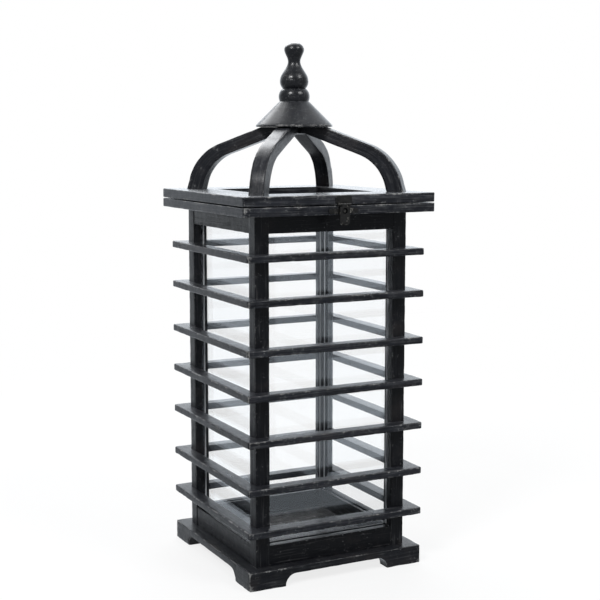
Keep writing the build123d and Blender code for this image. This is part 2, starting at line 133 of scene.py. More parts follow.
def turned(points: Array, degrees: float) -> Array:
    """Points turned about the vertical axis.

    Args:
        points: Shape (..., 3).
        degrees: Turn, anticlockwise seen from above.

    Returns:
        Turned points of the same shape.
    """
    angle = math.radians(degrees)
    x = points[..., 0] * math.cos(angle) - points[..., 1] * math.sin(angle)
    y = points[..., 0] * math.sin(angle) + points[..., 1] * math.cos(angle)
    return np.stack([x, y, points[..., 2]], axis=-1)


def grain_shift(seed: int, step: float, span: float = 7.0) -> float:
    """Shift of the grain's pattern, in metres, that differs from board to board."""
    return step * seed % span


def tangent_arc(corner: Array, before: Array, after: Array, radius: float) -> tuple[Array, Array, Array]:
    """Arc that touches both lines of a corner.

    Its centre lies on the corner's bisector at radius over the sine of the half angle.

    Args:
        corner: Where the two lines meet.
        before: A point of the first line.
        after: A point of the second line.
        radius: Radius of the arc.

    Returns:
        The arc's centre, its start on the first line and its end on the second.
    """
    back = (before - corner) / np.linalg.norm(before - corner)
    ahead = (after - corner) / np.linalg.norm(after - corner)
    half = 0.5 * math.acos(float(np.clip(back @ ahead, -1.0, 1.0)))
    centre = corner + (back + ahead) / np.linalg.norm(back + ahead) * radius / math.sin(half)
    return centre, corner + back * radius / math.tan(half), corner + ahead * radius / math.tan(half)


@dataclass
class Loop:
    """Closed outline of a section: places, outward directions and nearness to a worn edge."""

    spots: Array
    outward: Array
    edge: Array

    @classmethod
    def rounded(cls, corners: Sequence[tuple[float, float]], radii: Sequence[float], worn: Sequence[float],
                step: float, fade: float = 1.6 * MM, arc_points: int = 6) -> "Loop":
        """Outline with an arc at each corner, tangent to the two edges that meet there.

        Straight runs are split evenly. Nearness to an edge falls off as exp(-distance / fade) from each worn
        corner.

        Args:
            corners: Corner points, anticlockwise.
            radii: Arc radius of each corner.
            worn: Wear of each corner, 0 to 1.
            step: Longest straight run between two points.
            fade: Distance over which the wear of a corner fades.
            arc_points: Number of points on each arc.

        Returns:
            The outline.
        """
        ring = np.asarray(corners, float)
        pieces: list[Array] = []
        for index, radius in enumerate(radii):
            after = ring[(index + 1) % len(ring)]
            centre, start, end = tangent_arc(ring[index], ring[index - 1], after, radius)
            share = np.linspace(0.0, 1.0, arc_points)[:, None]
            sweep = (start - centre) * (1.0 - share) + (end - centre) * share
            sweep *= radius / np.linalg.norm(sweep, axis=1, keepdims=True)
            pieces.append(centre + sweep)
        filled: list[Array] = []
        for index, arc in enumerate(pieces):
            following = pieces[(index + 1) % len(pieces)][0]
            count = max(1, int(math.ceil(np.linalg.norm(following - arc[-1]) / step)))
            share = np.linspace(0.0, 1.0, count + 1)[1:-1, None]
            filled += [arc, arc[-1] * (1.0 - share) + following * share]
        spots = np.concatenate(filled)
        along = np.roll(spots, -1, axis=0) - np.roll(spots, 1, axis=0)
        outward = np.stack([along[:, 1], -along[:, 0]], axis=1)
        outward /= np.linalg.norm(outward, axis=1, keepdims=True)
        away = np.linalg.norm(spots[:, None] - ring[None], axis=2)
        edge = (np.asarray(worn) * np.exp(-away / fade)).max(axis=1)
        return cls(spots, outward, edge)


@dataclass
class Shell:
    """Closed surface with its per-point wear and grain place."""

    points: Array
    faces: list[list[int]]
    wear: Array
    grain: Array

    @classmethod
    def through(cls, points: Array, wear: Array, grain: Array, closed: bool = False) -> "Shell":
        """Surface through a stack of rings of points.

        Args:
            points: Shape (rings, spots, 3).
            wear: Shape (rings, spots).
            grain: Shape (rings, spots, 3).
            closed: Whether the last ring joins the first; if not, a cap closes each end.

        Returns:
            The surface, with its faces turned outwards.
        """
        rings, spots = points.shape[:2]
        index = np.arange(rings * spots).reshape(rings, spots)
        after = np.roll(index, -1, axis=1)
        quads = np.stack([index, after, np.roll(after, -1, axis=0), np.roll(index, -1, axis=0)], axis=-1)
        caps = [] if closed else [index[0][::-1].tolist(), index[-1].tolist()]
        quads = (quads if closed else quads[:-1]).reshape(-1, 4)
        shell = cls(points.reshape(-1, 3), quads.tolist() + caps, wear.reshape(-1), grain.reshape(-1, 3))
        return shell.outwards(quads)

    def outwards(self, quads: Array) -> "Shell":
        """Flip every face if the enclosed volume, the sum of signed cones to the centre, is negative.

        Args:
            quads: The quadrilaterals of the surface.

        Returns:
            This surface.
        """
        mid = self.points - self.points.mean(axis=0)
        a, b, c, d = (mid[quads[:, k]] for k in range(4))
        volume = np.einsum("ij,ij->", a, np.cross(b, c)) + np.einsum("ij,ij->", a, np.cross(c, d))
        if volume < 0:
            self.faces = [face[::-1] for face in self.faces]
        return self


def joined(operation: str, swapped: bool = False) -> Callable[["Wire", "Value"], "Wire"]:
    """Operator of a wire that adds a Math node.

    Args:
        operation: The node's operation.
        swapped: Whether the other value comes first, as in the reflected form.

    Returns:
        The method.
    """
    def method(self: "Wire", other: "Value") -> "Wire":
        pair = (other, self) if swapped else (self, other)
        return self.graph.node("ShaderNodeMath", {"operation": operation}, *pair)

    return method


class Wire:
    """Shader socket that can be added, multiplied and so on with other sockets or numbers."""

    __add__, __radd__ = joined("ADD"), joined("ADD", swapped=True)
    __sub__, __rsub__ = joined("SUBTRACT"), joined("SUBTRACT", swapped=True)
    __mul__, __rmul__ = joined("MULTIPLY"), joined("MULTIPLY", swapped=True)
    __truediv__, __rtruediv__ = joined("DIVIDE"), joined("DIVIDE", swapped=True)
    __pow__ = joined("POWER")

    def __init__(self, graph: "Graph", socket: bpy.types.NodeSocket) -> None:
        self.graph = graph
        self.socket = socket

    def clamped(self) -> "Wire":
        """This value held between 0 and 1."""
        return self.graph.node("ShaderNodeClamp", {}, self)

    def ramp(self, low: float, high: float) -> "Wire":
        """0 below low, 1 above high, a straight line between."""
        return ((self - low) / (high - low)).clamped()


Value = Union[Wire, float, Sequence[float]]


class Graph:
    """Node tree of one material or world."""

    def __init__(self, tree: bpy.types.NodeTree) -> None:
        self.tree = tree
        tree.nodes.clear()

    def node(self, kind: str, settings: dict[str, Any], *values: Value, pick: Union[int, str] = 0,
             **named: Value) -> Wire:
        """Add a node, set it up, feed its sockets and return one output.

        Args:
            kind: Node type.
            settings: Properties of the node.
            *values: Values of the first sockets in order; None leaves a socket alone.
            pick: Output to return, by number or name.
            **named: Values of sockets by name, with underscores for spaces.

        Returns:
            The picked output.
        """
        made = self.tree.nodes.new(kind)
        for key, value in settings.items():
            setattr(made, key, value)
        for socket, value in zip(made.inputs, values):
            self.feed(socket, value)
        for key, value in named.items():
            self.feed(made.inputs[key.replace("_", " ")], value)
        return Wire(self, made.outputs[pick]) if made.outputs else Wire(self, made.inputs[0])

    def feed(self, socket: bpy.types.NodeSocket, value: Value) -> None:
        """Link a wire to a socket, or set a constant on it."""
        if isinstance(value, Wire):
            self.tree.links.new(value.socket, socket)
        elif value is not None:
            socket.default_value = value

    def place(self) -> Wire:
        """Object coordinates, which are the part's own frame in metres."""
        return self.node("ShaderNodeTexCoord", {}, pick="Object")

    def attribute(self, name: str, vector: bool = False) -> Wire:
        """Per-point attribute of the mesh."""
        output = "Vector" if vector else "Fac"
        return self.node("ShaderNodeAttribute", {"attribute_name": name}, pick=output)

    def stretched(self, vector: Wire, scale: Sequence[float]) -> Wire:
        """Vector with each part multiplied by its own scale."""
        return self.node("ShaderNodeVectorMath", {"operation": "MULTIPLY"}, vector, scale)

    def noise(self, vector: Wire, scale: float = 1.0, detail: float = 3.0, roughness: float = 0.55,
              distortion: float = 0.0) -> Wire:
        """Fractal noise from about 0.2 to 0.8."""
        return self.node("ShaderNodeTexNoise", {}, Vector=vector, Scale=scale, Detail=detail,
                         Roughness=roughness, Distortion=distortion)

    def mixed(self, share: Value, first: Value, second: Value) -> Wire:
        """Colour between two colours."""
        made = self.tree.nodes.new("ShaderNodeMix")
        made.data_type = "RGBA"
        self.feed(made.inputs[0], share)
        self.feed(made.inputs[6], first)
        self.feed(made.inputs[7], second)
        return Wire(self, made.outputs[2])

    def bumped(self, height: Wire, strength: float, distance: float) -> Wire:
        """Normal tilted by a height."""
        return self.node("ShaderNodeBump", {}, pick="Normal", Strength=strength, Distance=distance,
                         Height=height)

    def principled(self, **named: Value) -> Wire:
        """Principled shader with its sockets by name."""
        return self.node("ShaderNodeBsdfPrincipled", {}, **named)

    def ray(self, name: str) -> Wire:
        """1 for rays of a kind, 0 for others."""
        return self.node("ShaderNodeLightPath", {}, pick=name)

    def turned_away(self) -> Wire:
        """0 where the surface faces the viewer, 1 where it is seen edge on."""
        return self.node("ShaderNodeLayerWeight", {}, 0.5, pick="Facing")

    def blended(self, share: Wire, first: Wire, second: Wire) -> Wire:
        """Shader between two shaders."""
        return self.node("ShaderNodeMixShader", {}, share, first, second)

    def surface(self, shader: Wire) -> None:
        """Make a shader the material's surface."""
        self.node("ShaderNodeOutputMaterial", {}, shader)


def rgba(colour: Sequence[float]) -> tuple[float, float, float, float]:
    """Colour with full opacity."""
    return (colour[0], colour[1], colour[2], 1.0)


def new_material(name: str) -> tuple[bpy.types.Material, Graph]:
    """Empty node material and its graph."""
    material = bpy.data.materials.new(name)
    material.use_nodes = True
    return material, Graph(material.node_tree)


@dataclass(frozen=True)
class WoodFinish:
    """Near-black stain rubbed thin along the edges, over straight grain."""

    name: str
    dark: Triple = (0.0027, 0.0030, 0.0044)
    light: Triple = (0.033, 0.036, 0.0460)
    brown: Triple = (0.040, 0.032, 0.029)
    worn: Triple = (0.235, 0.235, 0.235)
    bare: Triple = (0.36, 0.355, 0.345)
    wear_start: float = 0.44
    wear_span: float = 0.42
    # Fade level past which the whole piece turns grey: a painted reflection, reached only by the floor board.
    pale_from: float = 1.2
    roughness: float = 0.35
    spread: float = 0.24
    specular: float = 0.20
    coat: float = 0.16
    coat_roughness: float = 0.20
    sheen: float = 0.9
    sheen_power: float = 7.0
    sheen_tint: Triple = (0.95, 0.97, 1.0)
    sheen_roughness: float = 0.24
    bump: float = 0.60
    bump_depth: float = 1.0 * MM
    along: float = 7.0
    across: float = 230.0
    scratch_pitch: Triple = (22.0, 620.0, 620.0)
    dulling: float = 0.0

    def streak(self, g: Graph, grain: Wire, along: float, across: float, **settings: float) -> Wire:
        """Noise drawn out along the grain, at multiples of the finish's own pitch.

        Args:
            g: Graph of the material.
            grain: Place in the board's own grain.
            along: Multiple of the pitch along the grain.
            across: Multiple of the pitch across it.
            **settings: Settings of the noise.

        Returns:
            The noise.
        """
        side = self.across * across
        return g.noise(g.stretched(grain, (self.along * along, side, side)), **settings)

    def build(self) -> bpy.types.Material:
        """Material with grain along the board, pores, blotches, scratches and worn edges.

        A sheen takes over with a high power of the turn away from the viewer, as on waxed wood seen flat.
        The colour is laid on in layers, each over a share of what is below it. The fade level lifts the paler
        layers: painted shade and light piece by piece, and past pale_from a painted grey reflection.

        Returns:
            The material.
        """
        material, g = new_material(self.name)
        grain = g.attribute("grain", vector=True)
        wear = g.attribute("wear")
        fade = g.attribute("fade")
        place = g.place()
        fibre = self.streak(g, grain, 1.0, 1.0, detail=5.0, roughness=0.62, distortion=0.25)
        pore = self.streak(g, grain, 5.0, 4.0, detail=2.0, roughness=0.6)
        brush = self.streak(g, grain, 2.5, 2.6, detail=4.0, roughness=0.7, distortion=0.4)
        blotch = g.noise(place, scale=26.0, roughness=0.6)
        patch = g.noise(place, scale=90.0, detail=4.0, roughness=0.65)
        fleck = g.noise(place, scale=420.0, roughness=0.65)
        scored = g.noise(g.stretched(grain, self.scratch_pitch), detail=2.0, roughness=0.5, distortion=0.6)
        scratch = scored.ramp(0.62, 0.74)
        rub = wear * 0.9 + (fleck - 0.5) * 0.95 + (patch - 0.5) * 0.6 + (fibre - 0.5) * 0.35
        bare = rub.ramp(self.wear_start, self.wear_start + self.wear_span)
        dry = (brush + (patch - 0.5) * 0.5).ramp(0.50, 0.78)
        tone = (fibre * 0.5 + brush * 0.45 + blotch * 0.35 - 0.15).ramp(0.32, 0.72)
        # Past the fade level set by pale_from the whole piece greys: a painted reflection of the bright
        # surroundings, reached only by the floor board.
        pale = (fade - self.pale_from).clamped()
        chip = fleck.ramp(0.58, 0.72) * (patch + wear * 0.3).ramp(0.50, 0.68)
        layers = (
            # Paler stain in proportion to the piece's fade level: stain fading, and painted shade and light
            # set piece by piece.
            ((tone * fade).clamped(), self.light),
            (blotch.ramp(0.54, 0.74) * 0.4, self.brown),
            ((dry * fade * 0.30).clamped(), self.worn),
            ((scratch * 0.4 * patch + chip * 0.75).clamped(), self.worn),
            (bare * 0.85, self.bare),
            # Grey laid over the whole piece past the threshold: a painted reflection of the bright
            # surroundings.
            ((pale * (0.45 + patch)).clamped(), self.worn),
        )
        colour: Value = rgba(self.dark)
        for share, layer in layers:
            colour = g.mixed(share, colour, rgba(layer))
        rough = (self.roughness + (fibre - 0.5) * self.spread + dry * 0.18 + bare * 0.22
                 + (patch - 0.5) * 0.35 + (fade - 0.3) * self.dulling - pale * 0.4).clamped()
        height = (fibre * 0.5 + brush * 0.45 + pore * 0.3 - scratch * 0.25 + patch * 0.8
                  + fleck * 0.18 - bare * 0.2)
        wax = (self.coat * (1.0 - dry * 0.8 - bare)).clamped()
        shader = g.principled(Base_Color=colour, Roughness=rough, Coat_Weight=wax,
                        Coat_Roughness=self.coat_roughness, Specular_IOR_Level=self.specular,
                        Normal=g.bumped(height, self.bump, self.bump_depth))
        gloss = g.principled(Base_Color=rgba(self.sheen_tint), Metallic=1.0,
                       Roughness=self.sheen_roughness)
        share = (g.turned_away() ** self.sheen_power * self.sheen * (1.0 - dry * 0.4)).clamped()
        g.surface(g.blended(share, shader, gloss))
        return material


@dataclass(frozen=True)
class MetalFinish:
    """Dark metal with bright rubbed spots."""

    name: str
    dark: Triple
    bright: Triple
    rub_low: float
    rub_high: float
    roughness: float = 0.42
    bump: float = 0.3
    bump_depth: float = 0.4 * MM

    def build(self) -> bpy.types.Material:
        """Material with blotchy tarnish, rubbed spots and a fine hammered bump.

        Returns:
            The material.
        """
        material, g = new_material(self.name)
        place = g.place()
        tarnish = g.noise(place, scale=190.0, detail=4.0, roughness=0.6)
        spot = g.noise(place, scale=240.0, detail=4.0, roughness=0.6, distortion=0.6)
        pit = g.noise(place, scale=1300.0, detail=2.0, roughness=0.6)
        rubbed = (spot + (tarnish - 0.5) * 0.3).ramp(self.rub_low, self.rub_high)
        lighter = rgba([1.7 * part for part in self.dark])
        colour = g.mixed(tarnish.ramp(0.35, 0.7), rgba(self.dark), lighter)
        colour = g.mixed(rubbed, colour, rgba(self.bright))
        rough = (self.roughness + (tarnish - 0.5) * 0.35 - rubbed * 0.14 + (pit - 0.5) * 0.1).clamped()
        height = tarnish * 0.6 + pit * 0.3
        shader = g.principled(Base_Color=colour, Roughness=rough,
                        Metallic=0.35 + rubbed * 0.6, Normal=g.bumped(height, self.bump, self.bump_depth))
        g.surface(shader)
        return material


@dataclass(frozen=True)
class GlassFinish:
    """Clear sheet that lets light through straight and mirrors a little of the room."""

    name: str
    tint: Triple = (0.999, 1.0, 1.0)
    mirror_tint: Triple = (0.90, 0.95, 1.0)
    haze: Triple = (0.80, 0.88, 0.96)
    haze_share: float = 0.004
    haze_roughness: float = 0.8
    index: float = 1.5
    edge_power: float = 5.0
    smear_pitch: Triple = (9.0, 9.0, 3.0)

    def build(self) -> bpy.types.Material:
        """Mix of a tinted see-through shader, a thin film of haze and a mirror, with faint dust.

        The mirror's share rises from its straight-on value with the fifth power of the turn away from the
        viewer.

        Returns:
            The material.
        """
        material, g = new_material(self.name)
        place = g.place()
        dust = g.noise(place, scale=55.0, detail=4.0, roughness=0.65)
        smear = g.noise(g.stretched(place, self.smear_pitch), roughness=0.6)
        straight = ((self.index - 1.0) / (self.index + 1.0)) ** 2
        share = straight + (1.0 - straight) * g.turned_away() ** self.edge_power
        through = g.node("ShaderNodeBsdfTransparent", {}, Color=rgba(self.tint))
        mirror = g.principled(Base_Color=rgba(self.mirror_tint), Metallic=1.0,
                        Roughness=0.0)
        film = g.principled(Base_Color=rgba(self.haze), Roughness=self.haze_roughness)
        cover = (self.haze_share * (0.5 + smear + dust.ramp(0.5, 0.8))).clamped()
        veiled = g.blended(cover, through, film)
        g.surface(g.blended((share * (0.85 + smear * 0.3)).clamped(), veiled, mirror))
        return material


@dataclass(frozen=True)
class StripFinish:
    """Bare pale strip beside the glass."""

    name: str
    pale: Triple = (0.72, 0.73, 0.74)
    grey: Triple = (0.42, 0.43, 0.45)
    roughness: float = 0.5
    streak_pitch: Triple = (700.0, 700.0, 22.0)
    bump: float = 0.2
    bump_depth: float = 0.3 * MM

    def build(self) -> bpy.types.Material:
        """Material with streaks along the strip and small stains.

        Returns:
            The material.
        """
        material, g = new_material(self.name)
        place = g.place()
        streak = g.noise(g.stretched(place, self.streak_pitch), roughness=0.6)
        stain = g.noise(place, scale=90.0, roughness=0.6)
        colour = g.mixed((streak * 0.6 + stain * 0.5).ramp(0.4, 0.8), rgba(self.pale), rgba(self.grey))
        rough = (self.roughness + (stain - 0.5) * 0.3).clamped()
        shader = g.principled(Base_Color=colour, Roughness=rough,
                        Normal=g.bumped(streak, self.bump, self.bump_depth))
        g.surface(shader)
        return material


@dataclass
class Palette:
    """Every material of the lantern, built once."""

    finishes: dict[Slot, Any] = field(default_factory=lambda: {
        Slot.WOOD: WoodFinish("stained_wood"),
        Slot.TURNED: WoodFinish("turned_wood", roughness=0.24, spread=0.12, wear_start=0.52, bump=0.22,
                                specular=0.30, coat=0.40, along=60.0, across=60.0, dulling=1.2),
        Slot.GLASS: GlassFinish("clear_glass"),
        Slot.STRIP: StripFinish("pale_strip"),
        Slot.BRONZE: MetalFinish("aged_bronze", (0.013, 0.0125, 0.012), (0.52, 0.49, 0.43), 0.62, 0.74),
        Slot.STEEL: MetalFinish("dark_steel", (0.016, 0.016, 0.017), (0.20, 0.20, 0.20), 0.62, 0.80),
    })
    built: dict[Slot, bpy.types.Material] = field(default_factory=dict)

    def get(self, slot: Slot) -> bpy.types.Material:
        """Material of a slot."""
        if slot not in self.built:
            self.built[slot] = self.finishes[slot].build()
        return self.built[slot]


def make_piece(node: str, shells: Sequence[Shell], palette: Palette, slot: Slot, body: Body,
               fade: float) -> None:
    """Mesh object from one or more closed surfaces, in place of a CAD node.

    Args:
        node: The CAD node that it stands for.
        shells: Its surfaces.
        palette: Source of its material.
        slot: Its material slot.
        body: The body that it rides on.
        fade: How far its stain has faded, also set as painted shade and light piece by piece; past the
            finish's pale_from the whole piece turns grey, a painted reflection.
    """
    name = f"look_{node}"
    starts = np.cumsum([0] + [len(shell.points) for shell in shells])
    attributes = {
        "wear": ("FLOAT", "value", np.concatenate([shell.wear for shell in shells])),
        "grain": ("FLOAT_VECTOR", "vector", np.concatenate([shell.grain for shell in shells])),
        "fade": ("FLOAT", "value", np.full(starts[-1], fade)),
    }
    faces = [[int(start) + i for i in face] for shell, start in zip(shells, starts) for face in shell.faces]
    mesh = bpy.data.meshes.new(name)
    mesh.from_pydata(np.concatenate([shell.points for shell in shells]), [], faces)
    for key, (kind, part, values) in attributes.items():
        made = mesh.attributes.new(key, kind, "POINT")
        made.data.foreach_set(part, values.astype(np.float32).ravel())
    mesh.shade_smooth()
    mesh.set_sharp_from_angle(angle=math.radians(SHARP_ANGLE))
    mesh.materials.append(palette.get(slot))
    piece = bpy.data.objects.new(name, mesh)
    bpy.context.scene.collection.objects.link(piece)
    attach(piece, body.value)
    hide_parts(node)
    LOG.info("%s: %d points", name, len(mesh.vertices))


@dataclass(frozen=True)
class Worn:
    """How far use has rubbed a board: dents along its edges and a slight bow of its faces."""

    edge: float = 0.55 * MM
    face: float = 0.10 * MM
    pitch: float = 9.0 * MM
    seed: int = 1
    slow_ratio: float = 6.0
    slow_seed: int = 57
    chip_ratio: float = 0.33
    chip_seed: int = 113

    def rub(self, points: Array, outward: Array, edge: Array) -> tuple[Array, Array]:
        """Push points inwards along their directions and say how bare each is.

        The push is the edge depth times nearness times the part of a mixed noise that stands over its middle,
        plus the face depth times a slower noise; it never points outwards.

        Args:
            points: Shape (..., 3).
            outward: Unit directions, shape (..., 3).
            edge: Nearness to a worn edge, 0 to 1.

        Returns:
            The moved points and the wear, 0 to 1.
        """
        fine = value_noise(points / self.pitch, self.seed)
        slow = value_noise(points / (self.slow_ratio * self.pitch), self.seed + self.slow_seed)
        chip = value_noise(points / (self.chip_ratio * self.pitch), self.seed + self.chip_seed)
        dent = np.clip(1.9 * (0.62 * fine + 0.38 * chip) - 0.62, 0.0, 1.0)
        push = self.edge * edge * dent + self.face * slow
        wear = edge * (0.42 + 0.85 * dent)
        return points - outward * push[..., None], np.clip(wear, 0.0, 1.0)


@dataclass
class MitredBoard:
    """Board on one side of a square frame, cut at 45 degrees at both ends and rounded at the outer corner."""

    half: float
    depth: float
    low: float
    height: float
    corner_radius: float
    ease: float
    worn: Worn
    step: float = 2.2 * MM
    floor_at: Union[Callable[[Array], Array], None] = None
    stations: Union[Array, None] = None
    inner_ease: float = 0.25 * MM
    mitre_run: float = 4.0 * MM
    tip_run: float = 4.5 * MM
    tip_depth: float = 2.0 * MM
    rings: int = 121

    def shell(self, side: Side) -> Shell:
        """Section carried along the side.

        A section point at depth d keeps its x along the middle of the board; towards the ends x is stretched
        so that the last ring lies on the mitre, where x is the half width less d. Where x and y both pass the
        corner's centre, the point is drawn in to the radius less d from that centre.

        Args:
            side: Side that the board is on.

        Returns:
            The board's surface.
        """
        loop = Loop.rounded(
            [(0, 0), (self.depth, 0), (self.depth, self.height), (0, self.height)],
            [self.ease, self.inner_ease, self.inner_ease, self.ease], [1.0, 0.35, 0.35, 1.0], self.step,
        )
        d, h = loop.spots[:, 0], loop.spots[:, 1]
        core = self.half - self.depth - self.mitre_run
        along = self.stations if self.stations is not None else self.even()
        reach = np.abs(along)[:, None]
        beyond = np.clip((reach - core) / (self.half - core), 0.0, 1.0)
        x = np.where(reach <= core, reach, core + beyond * (self.half - d - core))
        y = np.broadcast_to(self.half - d, x.shape)
        centre = self.half - self.corner_radius
        out_x, out_y = np.clip(x - centre, 0.0, None), np.clip(y - centre, 0.0, None)
        size = np.hypot(out_x, out_y)
        limit = np.clip(self.corner_radius - d, 0.0, None)
        outside = (out_x > 0) & (out_y > 0) & (size > limit)
        pull = np.where(outside, limit / np.maximum(size, SMALLEST), 1.0)
        x = np.where(out_x > 0, np.minimum(x, centre) + out_x * pull, x)
        y = np.where(out_y > 0, np.minimum(y, centre) + out_y * pull, y)
        rise = np.zeros_like(x) if self.floor_at is None else self.floor_at(x)
        z = self.low + rise + h * (self.height - rise) / self.height
        facing = np.sign(along)[:, None]
        signed = facing * x
        points = np.stack([signed, -y, z], axis=-1)
        tip = np.exp(-np.clip(self.half - reach, 0.0, None) / self.tip_run) * np.exp(-d / self.tip_depth)
        edge = np.maximum(np.broadcast_to(loop.edge, x.shape), 0.95 * tip)
        flat = [np.broadcast_to(loop.outward[:, k], x.shape) for k in range(2)]
        outward = np.stack([facing * tip * 0.7, *flat], axis=-1)
        outward /= np.linalg.norm(outward, axis=-1, keepdims=True)
        worn = replace(self.worn, seed=self.worn.seed + side.value)
        points, wear = worn.rub(points, outward, edge)
        shift = grain_shift(worn.seed, 0.613)
        grain = np.stack([signed + shift, y + 0.37 * shift, z], axis=-1)
        return Shell.through(turned(points, side.value), wear, grain)

    def even(self) -> Array:
        """Ring places along the board, closer together at the ends."""
        share = np.linspace(-1.0, 1.0, self.rings)
        return self.half * np.sign(share) * (1.0 - (1.0 - np.abs(share)) ** 1.25)


@dataclass
class Stick:
    """Straight piece with a constant section, carried between two levels or along a side."""

    loop: Loop
    start: float
    end: float
    worn: Worn
    rings: int

    def rubbed(self) -> tuple[Array, Array, Array]:
        """Rings of the section at even places from start to end, with the section's axes first.

        Returns:
            Points, wear and grain, with the third part running along the stick.
        """
        along = np.linspace(self.start, self.end, self.rings)
        shape = (self.rings, len(self.loop.spots))
        spots = np.broadcast_to(self.loop.spots, shape + (2,))
        run = np.broadcast_to(along[:, None, None], shape + (1,))
        flat = np.broadcast_to(self.loop.outward, shape + (2,))
        outward = np.concatenate([flat, np.zeros(shape + (1,))], axis=-1)
        edge = np.broadcast_to(self.loop.edge, shape)
        points, wear = self.worn.rub(np.concatenate([spots, run], axis=-1), outward, edge)
        points[..., 2] = run[..., 0]
        shift = grain_shift(self.worn.seed, 0.417)
        grain = np.stack([points[..., 2] + shift, points[..., 0] + shift, points[..., 1]], axis=-1)
        return points, wear, grain


@dataclass
class Plinth:
    """Four mitred boards with arches between bracket feet, and the floor board inside them."""

    palette: Palette
    front_foot: float = 40.4 * MM
    side_foot: float = 36.4 * MM
    arch_height: float = 12.3 * MM
    arch_radius: float = 12.0 * MM
    corner_radius: float = 1.8 * MM
    ease: float = 0.9 * MM
    worn: Worn = Worn(edge=0.7 * MM, seed=11)
    step: float = 2.0 * MM
    # Low fade level: the plinth's stain is kept darker as painted shade, on top of its own fading.
    fade: float = 0.4
    floor_worn: Worn = Worn(face=0.05 * MM, seed=5)
    # Fade level past the wood's grey threshold: the floor board is painted grey, a painted reflection of the
    # bright surroundings.
    floor_fade: float = 1.8

    def arch(self, x: Array, edge: float) -> Array:
        """Level of a board's underside: zero under the feet, a quarter circle up from each, flat between.

        Args:
            x: Distance along the board from its middle.
            edge: Distance of the feet from the middle.

        Returns:
            Levels of the same shape.
        """
        round_start = edge - self.arch_radius
        run = np.clip(np.abs(x) - round_start, 0.0, self.arch_radius)
        curve = self.arch_height - self.arch_radius + np.sqrt(self.arch_radius ** 2 - run ** 2)
        return np.where(np.abs(x) < edge, curve, 0.0)

    def stations(self, edge: float, wide: float) -> Array:
        """Ring places along a board: close together on the arch's curves, beside the feet and at the mitres.

        Args:
            edge: Distance of the feet from the middle.
            wide: Half the width of the base.

        Returns:
            Signed distances from the middle, in order.
        """
        turn = np.linspace(0.0, math.pi / 2, 14)
        half = np.concatenate([
            np.linspace(0.0, edge - self.arch_radius, 26)[:-1],
            edge - self.arch_radius * (1.0 - np.sin(turn))[:-1],
            [edge - 0.01 * MM, edge + 0.01 * MM],
            np.linspace(edge + 2.0 * MM, wide - 6.0 * MM, 14),
            np.linspace(wide - 5.4 * MM, wide, 14),
        ])
        return np.concatenate([-half[::-1], half[1:]])

    def build(self) -> None:
        """Make the four boards and the floor."""
        front_low, front_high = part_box("plinth_front")
        wide = -front_low.y
        for side in Side:
            edge = wide - (self.front_foot if side.value % 180 == 0 else self.side_foot)
            node = f"plinth_{side.word}"
            low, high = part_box(node)
            board = MitredBoard(wide, front_high.y - front_low.y, low.z, high.z - low.z, self.corner_radius,
                                self.ease, self.worn, self.step, partial(self.arch, edge=edge),
                                self.stations(edge, wide))
            make_piece(node, [board.shell(side)], self.palette, Slot.WOOD, Body.CASE, self.fade)
        self.floor()

    def floor(self) -> None:
        """Make the floor board, with its grain from left to right, painted grey all over as a reflection."""
        low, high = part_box("floor_board")
        corners = [(low.y, low.z), (high.y, low.z), (high.y, high.z), (low.y, high.z)]
        loop = Loop.rounded(corners, radii=[0.2 * MM] * 4, worn=[0.2] * 4, step=4.0 * MM)
        points, wear, grain = Stick(loop, low.x, high.x, self.floor_worn, rings=40).rubbed()
        shell = Shell.through(points[..., [2, 0, 1]], wear, grain)
        make_piece("floor_board", [shell], self.palette, Slot.WOOD, Body.CASE, self.floor_fade)


